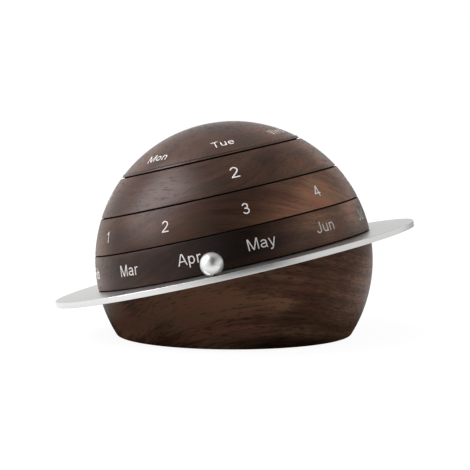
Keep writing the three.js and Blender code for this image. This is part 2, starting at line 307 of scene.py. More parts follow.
# Lettering: strokes in units of the capital height, on a baseline at zero
STROKE = 0.100
CAP_HEIGHT = 1 - STROKE / 2  # centre line of a stroke along the top of a capital
X_TOP = 0.725  # top of a lower-case letter
X_HEIGHT = X_TOP - STROKE / 2
ARCH_RISE = 0.22
FOOT = STROKE / 2
MITRE_LIMIT = 0.4  # keeps a sharp turn from reaching far out
SAME_POINT = STROKE / 50
MERGE_DISTANCE = STROKE / 1000
CURVE_STEP = math.radians(15)
STROKE_STEP = 0.15


def bend(cx, cy, rx, ry, start, end):
    """Points along part of an ellipse, angles in degrees."""
    start, end = math.radians(start), math.radians(end)
    steps = max(2, math.ceil(abs(end - start) / CURVE_STEP))
    angles = [start + (end - start) * i / steps for i in range(steps + 1)]
    return [Vector((cx + rx * math.cos(a), cy + ry * math.sin(a))) for a in angles]


def line(*points):
    return [Vector(p) for p in points]


def sweep(p0, p1, p2, steps=8):
    """Points along a curve from p0 to p2 that is pulled towards p1."""
    p0, p1, p2 = Vector(p0), Vector(p1), Vector(p2)
    shares = [i / steps for i in range(steps + 1)]
    return [p0 * (1 - t) ** 2 + p1 * 2 * t * (1 - t) + p2 * t**2 for t in shares]


def band(path, width=STROKE):
    """Outline of a stroke of even width along a path, with square ends and mitred turns."""
    path = [p for i, p in enumerate(path) if i == 0 or (p - path[i - 1]).length > SAME_POINT]
    dense = [path[0]]
    for a, b in zip(path, path[1:]):
        pieces = max(1, math.ceil((b - a).length / STROKE_STEP))
        dense += [a.lerp(b, k / pieces) for k in range(1, pieces + 1)]
    left = []
    right = []
    for i, p in enumerate(dense):
        before = (p - dense[i - 1]).normalized() if i > 0 else None
        after = (dense[i + 1] - p).normalized() if i + 1 < len(dense) else None
        before = before or after
        after = after or before
        along = (before + after).normalized()
        normal = Vector((-along.y, along.x))
        reach = width / 2 / max(MITRE_LIMIT, along.dot(after))
        left.append(p + normal * reach)
        right.append(p - normal * reach)
    return right + left[::-1]


def slant(x0, y0, x1, y1, width=STROKE):
    """Outline of a straight diagonal stroke whose ends are level."""
    slope = Vector((x1 - x0, y1 - y0)).normalized()
    half = width / 2 / abs(slope.y)
    pieces = max(1, math.ceil(abs(y1 - y0) / STROKE_STEP))
    centre = [Vector((x0, y0)).lerp(Vector((x1, y1)), k / pieces) for k in range(pieces + 1)]
    right = [p + Vector((half, 0)) for p in centre]
    left = [p - Vector((half, 0)) for p in centre]
    return right + left[::-1]


def stem(x, low=0, high=1):
    """An upright stroke."""
    return band(line((x, low), (x, high)))


def bar(y, left, right):
    """A level stroke."""
    return band(line((left, y), (right, y)))


def bowl(cx, cy, rx, ry):
    """A closed round, as two halves."""
    return [band(bend(cx, cy, rx, ry, 90, 270)), band(bend(cx, cy, rx, ry, -90, 90))]


def arch(left, right, foot):
    """A lower-case arch from one stem over to the next."""
    middle = (left + right) / 2
    over = bend(middle, X_HEIGHT - ARCH_RISE, (right - left) / 2, ARCH_RISE, 180, 0)
    return band(over + line((right, foot)))


# Centre of the rounds of "0", "8", "e" and "o" across, and of most lower-case bowls in height
ROUND_X = 0.388
ROUND_Y = 0.3625

# The strokes of a 6, which a 9 turns upside down
SIX = [
    *bowl(0.39, 0.325, 0.24, 0.2625),
    band(bend(0.42, 0.46, 0.27, 0.4775, 205, 40)),
]

# Each glyph: advance width, then the outlines of its strokes
GLYPHS = {
    "0": (0.777, bowl(ROUND_X, 0.5, 0.245, 0.4475)),
    "1": (0.777, [stem(0.47), band(sweep((0.19, 0.75), (0.38, 0.80), (0.47, 0.985)), STROKE * 0.9)]),
    "2": (
        0.777,
        [
            band(
                bend(0.385, 0.695, 0.24, 0.2425, 168, -25)
                + sweep((0.60, 0.59), (0.52, 0.42), (0.125, 0.10))
            ),
            bar(FOOT, 0.06, 0.69),
        ],
    ),
    "3": (
        0.777,
        [
            band(bend(0.37, 0.7325, 0.215, 0.205, 162, -90)),
            band(bend(0.37, 0.295, 0.25, 0.2325, 90, -162)),
            bar(0.5275, 0.27, 0.40),
        ],
    ),
    "4": (0.777, [stem(0.535), slant(0.10, 0.295, 0.50, 0.96), bar(0.295, 0.03, 0.74)]),
    "5": (
        0.777,
        [
            bar(CAP_HEIGHT, 0.17, 0.66),
            slant(0.145, 0.46, 0.215, 0.96),
            band(bend(0.37, 0.33, 0.26, 0.2675, 148, -160)),
        ],
    ),
    "6": (0.777, SIX),
    "7": (0.777, [bar(CAP_HEIGHT, 0.07, 0.71), band(sweep((0.67, 0.93), (0.36, 0.55), (0.30, 0)))]),
    "8": (0.777, [*bowl(ROUND_X, 0.7375, 0.20, 0.20), *bowl(ROUND_X, 0.2875, 0.24, 0.225)]),
    "9": (0.777, [[Vector((0.777, 1)) - p for p in outline] for outline in SIX]),
    "A": (0.932, [slant(0.085, 0, 0.43, 1), slant(0.847, 0, 0.502, 1), bar(0.345, 0.22, 0.71)]),
    "D": (
        1.008,
        [
            stem(0.18),
            band(line((0.18, CAP_HEIGHT)) + bend(0.49, 0.5, 0.385, 0.4375, 90, -90) + line((0.18, FOOT))),
        ],
    ),
    "F": (0.853, [stem(0.18), bar(CAP_HEIGHT, 0.18, 0.80), bar(0.50, 0.18, 0.70)]),
    "J": (0.698, [band(line((0.51, 1)) + bend(0.285, 0.28, 0.225, 0.2175, 0, -172))]),
    "M": (1.163, [stem(0.165), stem(0.998), slant(0.20, 1, 0.5815, 0), slant(0.963, 1, 0.5815, 0)]),
    "N": (1.008, [stem(0.165), stem(0.843), slant(0.19, 1, 0.818, 0)]),
    "O": (1.087, bowl(0.5435, 0.5, 0.4225, 0.4475)),
    "S": (
        0.932,
        [
            band(
                bend(0.46, 0.7325, 0.29, 0.205, 18, 235)
                + bend(0.475, 0.285, 0.31, 0.2225, 50, -165)
            )
        ],
    ),
    "T": (0.853, [stem(0.4265), bar(CAP_HEIGHT, 0.03, 0.823)]),
    "W": (
        1.318,
        [
            slant(0.075, 1, 0.355, 0),
            slant(0.659, 1, 0.355, 0),
            slant(0.659, 1, 0.963, 0),
            slant(1.243, 1, 0.963, 0),
        ],
    ),
    "a": (
        0.777,
        [
            band(
                bend(0.36, 0.49, 0.225, 0.1725, 160, 0)
                + line((0.585, 0.14))
                + sweep((0.585, 0.14), (0.59, 0.05), (0.65, 0.0))
            ),
            band(line((0.585, 0.425)) + bend(0.335, 0.2175, 0.235, 0.155, 75, 340)),
        ],
    ),
    "b": (0.777, [stem(0.155), *bowl(0.39, ROUND_Y, 0.235, 0.30)]),
    "c": (0.698, [band(bend(0.375, ROUND_Y, 0.25, 0.30, 38, 322))]),
    "d": (0.777, [stem(0.622), *bowl(0.387, ROUND_Y, 0.235, 0.30)]),
    "e": (0.777, [band(bend(ROUND_X, ROUND_Y, 0.2575, 0.30, 5, 325)), bar(0.385, 0.13, 0.65)]),
    "g": (
        0.777,
        [
            *bowl(0.387, ROUND_Y, 0.235, 0.30),
            band(line((0.622, X_TOP), (0.622, -0.06)) + bend(0.387, -0.06, 0.235, 0.175, 0, -155)),
        ],
    ),
    "h": (0.777, [stem(0.155), arch(0.155, 0.6125, 0)]),
    "i": (0.310, [stem(0.155, 0, X_TOP), stem(0.155, 0.86, 1)]),
    "l": (0.310, [stem(0.155)]),
    "n": (0.777, [stem(0.155, 0, X_TOP), arch(0.155, 0.6125, 0)]),
    "o": (0.777, bowl(ROUND_X, ROUND_Y, 0.2625, 0.30)),
    "p": (0.777, [stem(0.155, -0.28, X_TOP), *bowl(0.39, ROUND_Y, 0.235, 0.30)]),
    "r": (
        0.465,
        [stem(0.155, 0, X_TOP), band(bend(0.375, X_HEIGHT - ARCH_RISE, 0.22, ARCH_RISE, 180, 68))],
    ),
    "t": (
        0.388,
        [
            band(line((0.185, 0.93), (0.185, 0.17)) + sweep((0.185, 0.17), (0.19, 0.05), (0.36, 0.065))),
            bar(0.6625, 0.03, 0.36),
        ],
    ),
    "u": (
        0.777,
        [stem(0.6125, 0, X_TOP), band(line((0.155, X_TOP)) + bend(0.384, 0.2825, 0.229, 0.22, 180, 360))],
    ),
    "v": (0.698, [slant(0.085, X_TOP, 0.349, 0), slant(0.613, X_TOP, 0.349, 0)]),
    "y": (
        0.698,
        [
            slant(0.085, X_TOP, 0.349, 0),
            band(line((0.625, X_TOP), (0.34, -0.08)) + sweep((0.34, -0.08), (0.28, -0.25), (0.09, -0.215))),
        ],
    ),
}


def glyph_triangles(outlines):
    """The flat union of a glyph's strokes, as points and triangles."""
    points = []
    faces = []
    for outline in outlines:
        area = sum(a.x * b.y - b.x * a.y for a, b in zip(outline, outline[1:] + outline[:1]))
        ordered = outline if area > 0 else outline[::-1]
        faces.append(list(range(len(points), len(points) + len(ordered))))
        points += ordered
    out = delaunay_2d_cdt(points, [], faces, 1, MERGE_DISTANCE)
    vertices, triangles, origins = out[0], out[2], out[5]
    return vertices, [t for t, origin in zip(triangles, origins) if origin]


FLAT_GLYPHS = {letter: glyph_triangles(outlines) for letter, (_, outlines) in GLYPHS.items()}
PRINT_PROUD = 0.03 * MM
PRINT_DEPTH = 0.05 * MM


def word_solid(word, height, bearing, latitude, vertices, faces):
    """Adds a word, laid on the sphere as flat print pressed on it, to a list of vertices and faces."""
    east = Vector((-math.sin(bearing), math.cos(bearing), 0))
    reach = math.cos(latitude)
    out = Vector((math.cos(bearing) * reach, math.sin(bearing) * reach, math.sin(latitude)))
    north = out.cross(east)
    width = sum(GLYPHS[letter][0] for letter in word)
    pen = -width / 2
    for letter in word:
        points, triangles = FLAT_GLYPHS[letter]
        start = len(vertices)
        for radius in (SPHERE_RADIUS + PRINT_PROUD, SPHERE_RADIUS - PRINT_DEPTH):
            for p in points:
                flat = east * (pen + p.x) * height + north * (p.y - 1 / 2) * height
                vertices.append((out * SPHERE_RADIUS + flat).normalized() * radius)
        under = len(points)
        edges = {}
        for a, b, c in triangles:
            faces.append([start + a, start + b, start + c])
            faces.append([start + under + c, start + under + b, start + under + a])
            for edge in ((a, b), (b, c), (c, a)):
                edges[edge] = True
        for a, b in edges:
            if (b, a) not in edges:
                faces.append([start + b, start + a, start + under + a, start + under + b])
        pen += GLYPHS[letter][0]


def lettering(name, words, height, start, latitude, nudges):
    """All the words of a layer as one piece, evenly spaced but for some that stand a little aside."""
    vertices = []
    faces = []
    for i, word in enumerate(words):
        bearing = start + i * math.tau / len(words) + math.radians(nudges.get(word, 0))
        word_solid(word, height, bearing, latitude, vertices, faces)
    return finish_mesh(name, vertices, faces)


MONTHS = ("Jan", "Feb", "Mar", "Apr", "May", "Jun", "Jul", "Aug", "Sep", "Oct", "Nov", "Dec")
WEEKDAYS = ("Mon", "Tue", "Wed", "Thu", "Fri", "Sat", "Sun")


def first_bearing(shown, count, bearing):
    """Bearing of the first word of a layer when word number `shown` stands at a bearing in degrees."""
    return math.radians(bearing) - shown * math.tau / count


# Materials
NOISE_RANGE = (0.3, 0.7)  # nearly all of a noise lies between these
NOISE_MIDDLE = 0.5


def material(name):
    """A new material, its node tree and its shader."""
    made = bpy.data.materials.new(name)
    made.use_nodes = True
    tree = made.node_tree
    return made, tree, tree.nodes["Principled BSDF"]


def add(tree, kind, inputs=None, **settings):
    """A node with its settings, and its inputs given as values or as sockets to link."""
    node = tree.nodes.new(kind)
    for key, value in settings.items():
        setattr(node, key, value)
    for key, value in (inputs or {}).items():
        if isinstance(value, bpy.types.NodeSocket):
            tree.links.new(value, node.inputs[key])
        else:
            node.inputs[key].default_value = value
    return node


def math_node(tree, operation, a, b=0.0, clamp=False):
    return add(tree, "ShaderNodeMath", {0: a, 1: b}, operation=operation, use_clamp=clamp).outputs[0]


def vector_math(tree, operation, a, b):
    return add(tree, "ShaderNodeVectorMath", {0: a, 1: b}, operation=operation).outputs["Vector"]


def stretched(tree, vector, factors):
    return vector_math(tree, "MULTIPLY", vector, factors)


def length_of(tree, vector):
    return add(tree, "ShaderNodeVectorMath", {0: vector}, operation="LENGTH").outputs["Value"]


def dot(tree, a, b):
    return add(tree, "ShaderNodeVectorMath", {0: a, 1: b}, operation="DOT_PRODUCT").outputs["Value"]


def ramp(tree, value, stops):
    """A colour ramp from (place, (r, g, b)) stops."""
    node = add(tree, "ShaderNodeValToRGB", {"Fac": value})
    elements = node.color_ramp.elements
    while len(elements) < len(stops):
        elements.new(0.5)
    for element, (place, colour) in zip(elements, stops):
        element.position = place
        element.color = (*colour, 1)
    return node.outputs["Color"]


def remap(tree, value, low, high, to_low=0.0, to_high=1.0):
    """A value taken from one range to another, and held at the ends."""
    inputs = {"Value": value, "From Min": low, "From Max": high, "To Min": to_low, "To Max": to_high}
    return add(tree, "ShaderNodeMapRange", inputs).outputs["Result"]


def noise(tree, vector, scale, detail=2.0, roughness=0.5):
    inputs = {"Vector": vector, "Scale": scale, "Detail": detail, "Roughness": roughness}
    return add(tree, "ShaderNodeTexNoise", inputs).outputs["Fac"]


def figure(tree, vector, frequency, detail=2.0, roughness=0.6):
    """Noise with a frequency of its own along each axis."""
    return noise(tree, stretched(tree, vector, frequency), 1.0, detail, roughness)


def share(tree, value, amount, middle=NOISE_MIDDLE):
    """A noise value about its middle, scaled to an amount."""
    return math_node(tree, "MULTIPLY", math_node(tree, "SUBTRACT", value, middle), amount)


def total(tree, values):
    result = values[0]
    for value in values[1:]:
        result = math_node(tree, "ADD", result, value)
    return result


def patch(tree, place, bearing, height, reach, amount):
    """A soft patch on the sphere: bearing in degrees, height and reach in millimetres."""
    radius = math.sqrt((SPHERE_RADIUS / MM) ** 2 - height**2)
    bearing = math.radians(bearing)
    centre = (radius * math.cos(bearing), radius * math.sin(bearing), height)
    far = length_of(tree, vector_math(tree, "SUBTRACT", place, centre))
    inputs = {"Value": far, "From Min": 0.0, "From Max": reach, "To Min": amount, "To Max": 0.0}
    return add(tree, "ShaderNodeMapRange", inputs, interpolation_type="SMOOTHSTEP").outputs["Result"]


def object_place(tree):
    return add(tree, "ShaderNodeTexCoord").outputs["Object"]


def leaning_place(tree):
    """The place in millimetres from the sphere's centre, in the frame that leans with the axis."""
    leaning = {
        "Vector": object_place(tree),
        "Location": CENTRE,
        "Rotation": TO_DESK.to_euler(),
        "Scale": (MM, MM, MM),
    }
    return add(tree, "ShaderNodeMapping", leaning, vector_type="TEXTURE").outputs["Vector"]


def two_tones(tree, value, dark, pale):
    """A colour that goes from dark to pale with a noise."""
    return ramp(tree, value, tuple(zip(NOISE_RANGE, (dark, pale))))


def set_roughness(tree, shader, value, roughness, reach):
    """Roughness that varies about its middle with a noise."""
    rough = remap(tree, value, *NOISE_RANGE, roughness - reach, roughness + reach)
    tree.links.new(rough, shader.inputs["Roughness"])


def set_bump(tree, shader, height, strength, depth):
    bump = add(tree, "ShaderNodeBump", {"Height": height, "Strength": strength, "Distance": depth})
    tree.links.new(bump.outputs[0], shader.inputs["Normal"])


# Walnut from its darkest heart to its palest streaks
WALNUT_TONES = (
    (0.00, (0.0092, 0.0044, 0.0031)),
    (0.25, (0.026, 0.0118, 0.0077)),
    (0.50, (0.058, 0.0277, 0.0178)),
    (0.75, (0.113, 0.0550, 0.0345)),
    (1.00, (0.270, 0.134, 0.0830)),
)
REDDISH = (1.01, 0.88, 0.87)
OLIVE = (0.86, 0.96, 0.89)
HUE_RANGE = (0.35, 0.65)

# Frequencies of the walnut's figure per millimetre, along the grain and then across it
SLOW_WAVES = (0.012, 0.035, 0.035)
FINE_WAVES = (0.05, 0.16, 0.16)
FINE_WAVE_PART = 0.25
CLOUDS = (0.022, 0.06, 0.06)
HUES = (0.03, 0.14, 0.14)

# The same for what follows the rings: from the pith outwards, with the drift along the grain, and by the seed
BROAD_BANDS = (0.10, 1, 1)
FINE_LINES = (0.55, 1, 1)
RING_DRIFT = 0.02

# The same for fibres and pores: along the grain, from the pith outwards, and aside
FIBRES = (0.07, 1.5, 0.3)
PORES = (0.30, 2.2, 0.5)
PORE_RANGE = (0.56, 0.66)

# How far each of these moves the tone
BROAD_TONE = 0.6
LINES_TONE = 1.3
CLOUDS_TONE = 0.35
FIBRES_TONE = 1.0
PORES_TONE = -0.35

# Depths under the sphere, in millimetres, between which the painted shade in the seams fades from full to none
FULL_SEAM_SHADE_DEPTH = 0.07
NO_SEAM_SHADE_DEPTH = 0.02

WOOD_ROUGHNESS = 0.35
FIBRES_ROUGHNESS = 0.25
PORES_ROUGHNESS = 0.15
SEAM_SHADE_ROUGHNESS = -0.5  # times the seams' step of painted shade, which is negative or none
FIBRES_HEIGHT = 0.5
WOOD_BUMP = 0.35
WOOD_BUMP_DEPTH = 0.03 * MM
SHEEN_ROUGHNESS = 0.12


def waves(tree, vector, frequency, reach):
    """A displacement across the grain, by up to half its reach in millimetres either way."""
    inputs = {"Vector": stretched(tree, vector, frequency), "Scale": 1.0, "Detail": 2.0}
    colour = add(tree, "ShaderNodeTexNoise", inputs).outputs["Color"]
    centred = vector_math(tree, "SUBTRACT", colour, (NOISE_MIDDLE, NOISE_MIDDLE, NOISE_MIDDLE))
    return stretched(tree, centred, (0, reach, reach))


def pith_distance(tree, wood, seeded, pith, warp):
    """Distance from the pith, bent by slow waves and by finer ones. It grows from ring to ring."""
    slow = waves(tree, seeded, SLOW_WAVES, warp)
    fine = waves(tree, seeded, FINE_WAVES, warp * FINE_WAVE_PART)
    bent = vector_math(tree, "ADD", vector_math(tree, "ADD", wood, slow), fine)
    from_pith = vector_math(tree, "SUBTRACT", bent, (0, *pith))
    return length_of(tree, stretched(tree, from_pith, (0, 1, 1)))


def oil(tree, shader, fibres, pores, inside):
    """Roughness and bump that follow the fibres and the pores, duller in the seams, whose colour carries a painted
    shade.
    """
    rough = math_node(tree, "ADD", share(tree, fibres, FIBRES_ROUGHNESS), WOOD_ROUGHNESS)
    rough = math_node(tree, "ADD", rough, share(tree, pores, PORES_ROUGHNESS, 0.0))
    rough = math_node(tree, "ADD", rough, share(tree, inside, SEAM_SHADE_ROUGHNESS, 0.0))
    tree.links.new(rough, shader.inputs["Roughness"])
    height = math_node(tree, "SUBTRACT", math_node(tree, "MULTIPLY", fibres, FIBRES_HEIGHT), pores)
    set_bump(tree, shader, height, WOOD_BUMP, WOOD_BUMP_DEPTH)


def walnut(name, turn, lean, pith, shift, tone, gloss, sheen, patches, warp=10, contrast=0.32, painted_seam_shade=-1.2):
    """Oiled walnut. The grain runs along X once turned and leant in degrees; pith is the heart's (y, z)."""
    made, tree, shader = material(name)
    place = leaning_place(tree)
    turning = tuple(math.radians(a) for a in (0, lean, turn))
    wood = add(tree, "ShaderNodeMapping", {"Vector": place, "Rotation": turning}).outputs["Vector"]
    seeded = vector_math(tree, "ADD", wood, shift)
    distance = pith_distance(tree, wood, seeded, pith, warp)

    # Bands and lines of colour that follow the rings, drifting slowly along the grain
    axes = add(tree, "ShaderNodeSeparateXYZ", {0: seeded}).outputs
    drift = math_node(tree, "MULTIPLY", axes["X"], RING_DRIFT)
    by_ring = {"X": distance, "Y": drift, "Z": shift[1]}
    ring_place = add(tree, "ShaderNodeCombineXYZ", by_ring).outputs[0]
    broad = figure(tree, ring_place, BROAD_BANDS)
    lines = figure(tree, ring_place, FINE_LINES, 3.0, 0.7)
    clouds = figure(tree, seeded, CLOUDS)

    # Fibres and short dark pores along the grain, which follow the rings too
    by_grain = {"X": axes["X"], "Y": distance, "Z": axes["Y"]}
    grain_place = add(tree, "ShaderNodeCombineXYZ", by_grain).outputs[0]
    fibres = figure(tree, grain_place, FIBRES, 4.0, 0.7)
    pores = remap(tree, figure(tree, grain_place, PORES), *PORE_RANGE)

    # Painted shade: the faces in the seams, just under the sphere's outside, are darkened
    outside = SPHERE_RADIUS / MM
    depth = length_of(tree, place)
    inside = remap(tree, depth, outside - FULL_SEAM_SHADE_DEPTH, outside - NO_SEAM_SHADE_DEPTH, painted_seam_shade, 0.0)

    parts = [
        share(tree, broad, BROAD_TONE),
        share(tree, lines, LINES_TONE * contrast),
        share(tree, clouds, CLOUDS_TONE),
        share(tree, fibres, FIBRES_TONE * contrast),
        share(tree, pores, PORES_TONE * contrast, 0.0),
        inside,
        *(patch(tree, place, *p) for p in patches),
    ]
    level = math_node(tree, "ADD", total(tree, parts), tone, clamp=True)
    tint = ramp(tree, figure(tree, seeded, HUES), tuple(zip(HUE_RANGE, (REDDISH, OLIVE))))
    colour = vector_math(tree, "MULTIPLY", ramp(tree, level, WALNUT_TONES), tint)
    tree.links.new(colour, shader.inputs["Base Color"])

    oil(tree, shader, fibres, pores, inside)
    shader.inputs["Specular IOR Level"].default_value = gloss
    shader.inputs["Sheen Weight"].default_value = sheen
    shader.inputs["Sheen Roughness"].default_value = SHEEN_ROUGHNESS
    return made


# Metal: a fine fleck mixed with broad clouds, whose frequency is per metre
METAL_FINE_PART = 0.7
METAL_CLOUD_PART = 0.3
METAL_CLOUDS = (80, 80, 80)
METAL_ROUGHNESS_REACH = 0.05
METAL_BUMP = 0.25
METAL_BUMP_DEPTH = 0.01 * MM


def satin_metal(name, colour, roughness, grain, fleck=0.04):
    """Satin metal with a fine fleck in its tone, gloss and height. Grain is its frequency per millimetre."""
    made, tree, shader = material(name)
    place = object_place(tree)
    fine = figure(tree, place, tuple(frequency / MM for frequency in grain), 3.0)
    cloud = figure(tree, place, METAL_CLOUDS, roughness=0.5)
    fine_part = math_node(tree, "MULTIPLY", fine, METAL_FINE_PART)
    cloud_part = math_node(tree, "MULTIPLY", cloud, METAL_CLOUD_PART)
    mixed = math_node(tree, "ADD", fine_part, cloud_part)
    darker = tuple(c * (1 - 2 * fleck) for c in colour)
    tree.links.new(two_tones(tree, mixed, darker, colour), shader.inputs["Base Color"])
    set_roughness(tree, shader, mixed, roughness, METAL_ROUGHNESS_REACH)
    shader.inputs["Metallic"].default_value = 1
    set_bump(tree, shader, fine, METAL_BUMP, METAL_BUMP_DEPTH)
    return made


# The plate's rim: how wide its painted highlight is in millimetres, and how much brighter it is painted than the
# blasted faces
RIM_HIGHLIGHT_WIDTH = 0.3
RIM_HIGHLIGHT_GAIN = 1.2


def with_painted_rim_highlight(made):
    """Paints a highlight on the plate's rim, whose colour is made brighter than that of its blasted faces."""
    tree = made.node_tree
    base_colour = tree.nodes["Principled BSDF"].inputs["Base Color"]
    face = base_colour.links[0].from_socket
    from_axis = length_of(tree, stretched(tree, leaning_place(tree), (1, 1, 0)))
    edge = PLATE_RADIUS / MM
    gain = remap(tree, from_axis, edge - RIM_HIGHLIGHT_WIDTH, edge - RIM_HIGHLIGHT_WIDTH / 2, 1.0, RIM_HIGHLIGHT_GAIN)
    tree.links.new(stretched(tree, face, gain), base_colour)
    return made


# Nylon, foam rubber and printing: a fine mottle in tone, gloss and height
DULL_ROUGHNESS_REACH = 0.06
DULL_BUMP = 0.4


def plain_stuff(name, colour, roughness, frequency, bump_depth, mottling=0.12):
    """A dull non-metal, such as nylon or foam rubber. The frequency of its mottle is per millimetre."""
    made, tree, shader = material(name)
    mottle = noise(tree, object_place(tree), frequency / MM, 3.0, 0.6)
    darker = tuple(c * (1 - mottling) for c in colour)
    tree.links.new(two_tones(tree, mottle, darker, colour), shader.inputs["Base Color"])
    set_roughness(tree, shader, mottle, roughness, DULL_ROUGHNESS_REACH)
    set_bump(tree, shader, mottle, DULL_BUMP, bump_depth)
    return made


PRINT_WHITE = (0.87, 0.855, 0.84)
PRINT_WORN_AND_SHADED = (0.20, 0.19, 0.18)
PRINT_FADE = 0.10  # wear that is there everywhere
PRINT_MOTTLE = 0.25
PRINT_ROUGHNESS = 0.45
PRINT_FREQUENCY = 3.0
PRINT_BUMP_DEPTH = 0.005 * MM

# Where the printing is dimmed: bearing in degrees, height and reach in millimetres, and share of dimming. The
# strong dimming of the words to the right is painted shade, where less light falls.
PRINT_WEAR_AND_SHADE = (
    (-127, 7, 12, 0.15),
    (-68, 7, 12, 0.24),
    (-38, 7, 12, 0.42),
    (-8, 7, 14, 0.50),
    (-143, 19, 10, 0.22),
    (-107, 19, 10, 0.10),
    (-35, 19, 10, 0.10),
    (-70, 31, 10, 0.10),
    (-17, 42, 14, 0.50),
)


def printed(name):
    """Printed lettering: off-white with a fine mottle, dimmed in places, on the words to the right as painted
    shade.
    """
    made, tree, shader = material(name)
    place = leaning_place(tree)
    mottle = noise(tree, place, PRINT_FREQUENCY, 3.0, 0.6)
    parts = [share(tree, mottle, PRINT_MOTTLE), *(patch(tree, place, *p) for p in PRINT_WEAR_AND_SHADE)]
    wear_and_shade = math_node(tree, "ADD", total(tree, parts), PRINT_FADE, clamp=True)
    colour = ramp(tree, wear_and_shade, ((0.0, PRINT_WHITE), (1.0, PRINT_WORN_AND_SHADED)))
    tree.links.new(colour, shader.inputs["Base Color"])
    set_roughness(tree, shader, mottle, PRINT_ROUGHNESS, DULL_ROUGHNESS_REACH)
    set_bump(tree, shader, mottle, DULL_BUMP, PRINT_BUMP_DEPTH)
    return made


# Frequencies per millimetre: even for blasted metal, and drawn out level for turned metal
PLATE_GRAIN = (3.0, 3.0, 3.0)
BALL_GRAIN = (4.0, 4.0, 4.0)
TURNED_GRAIN = (1.0, 1.0, 12.0)

plate_metal = with_painted_rim_highlight(satin_metal("plate_metal", (0.61, 0.61, 0.60), 0.32, PLATE_GRAIN, 0.05))
ball_metal = satin_metal("ball_metal", (0.74, 0.75, 0.73), 0.36, BALL_GRAIN, 0.02)
bright_steel = satin_metal("bright_steel", (0.62, 0.62, 0.63), 0.32, TURNED_GRAIN)
brass = satin_metal("turned_brass", (0.72, 0.53, 0.25), 0.30, TURNED_GRAIN)
nylon = plain_stuff("nylon", (0.80, 0.79, 0.74), 0.5, 0.8, 0.01 * MM)
foam = plain_stuff("foam_rubber", (0.030, 0.028, 0.026), 0.85, 2.2, 0.08 * MM, 0.4)
printing = printed("printing")

# Patches of tone on the wood: bearing in degrees, height and reach in millimetres, and step of tone. On the base
# they are partly painted light and painted shade, partly the wood's own tone.
BASE_TONE_LIGHT_AND_SHADE = (
    # Mostly paler on the left: painted light where the plate shades the base from the window
    (-108, -8, 32, 0.28),
    (-84, -7, 18, 0.12),
    (-16, -18, 18, 0.12),
    (-146, -9, 15, 0.50),
    (-92, -4, 10, 0.10),
    (-128, -15, 9, 0.14),
    (-105, -13, 8, 0.10),
    (-71, -29, 8, -0.18),
    (-66, -14, 9, 0.14),
    (-52, -18, 11, -0.14),
    (-50, -8, 9, -0.10),
    (-61, -21, 8, -0.12),
    # Darker towards the foot: painted shade where little light reaches the base from below
    (-70, -42, 30, -0.74),
    (-40, -42, 24, -0.38),
    (-124, -27, 18, -0.36),
    (-146, -24, 14, -0.40),
)
MONTH_PATCHES = (
    (-80, 6, 32, -0.47),
    (-46, 1, 9, -0.16),
    (-53, 7, 8, 0.10),
    (-20, 8, 9, 0.12),
    (-60, 11, 9, 0.12),
    (-40, 10, 18, 0.44),
    (-14, 13, 20, 0.56),
    (-112, 6, 14, -0.14),
    (-134, 6, 16, -0.22),
)
ONES_PATCHES = (
    (-42, 13, 22, 0.60),
    (-62, 12, 12, 0.22),
    (-18, 19, 9, -0.12),
    (-74, 13, 10, 0.12),
    (-37, 23, 9, 0.12),
    (-15, 16, 22, 0.44),
    (-80, 20, 18, -0.20),
    (-122, 24, 13, 0.20),
    (-126, 14, 14, -0.12),
    (-150, 15, 12, 0.32),
)
TENS_PATCHES = (
    (-72, 27, 13, -0.16),
    (-52, 33, 9, -0.12),
    (-27, 32, 9, -0.10),
    (-86, 34, 14, -0.14),
    (-124, 34, 14, -0.10),
    (-38, 28, 12, 0.18),
    (-16, 34, 19, 0.38),
    (-64, 35, 9, -0.08),
    (-104, 28, 12, -0.08),
    (-142, 28, 10, -0.12),
    (-154, 30, 10, 0.14),
)
CAP_PATCHES = (
    (-138, 42, 12, 0.24),
    (-118, 42, 9, -0.08),
    (-22, 42, 14, 0.32),
)

# Each piece of wood has its own grain and figure. The cap has the most gloss and sheen, the base the least.
WOODS = {
    "base": walnut(
        "walnut_base",
        turn=0,
        lean=0,
        pith=(0, 60),
        shift=(11, 4, 3),
        tone=0.77,
        gloss=0.05,
        sheen=0.0,
        patches=BASE_TONE_LIGHT_AND_SHADE,
        warp=3,
        contrast=0.6,
        painted_seam_shade=0.0,
    ),
    "month": walnut(
        "walnut_month",
        turn=75,
        lean=0,
        pith=(10, -90),
        shift=(130, 40, 17),
        tone=0.44,
        gloss=0.20,
        sheen=0.05,
        patches=MONTH_PATCHES,
    ),
    "ones": walnut(
        "walnut_ones",
        turn=-8,
        lean=-8,
        pith=(10, 90),
        shift=(260, 91, 33),
        tone=0.50,
        gloss=0.17,
        sheen=0.05,
        patches=ONES_PATCHES,
    ),
    "tens": walnut(
        "walnut_tens",
        turn=15,
        lean=2,
        pith=(0, -90),
        shift=(390, 150, 52),
        tone=0.54,
        gloss=0.25,
        sheen=0.10,
        patches=TENS_PATCHES,
    ),
    "weekday": walnut(
        "walnut_weekday",
        turn=50,
        lean=0,
        pith=(20, -90),
        shift=(520, 210, 70),
        tone=0.53,
        gloss=0.42,
        sheen=0.40,
        patches=CAP_PATCHES,
    ),
}


# Pieces
def settle(piece, body, made_of, slot, *nodes):
    """Gives a piece its material, the body that it moves with and the nodes that it stands for."""
    piece.data.materials.clear()
    piece.data.materials.append(made_of)
    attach(piece, body)
    if nodes:
        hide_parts(*nodes)
    return piece


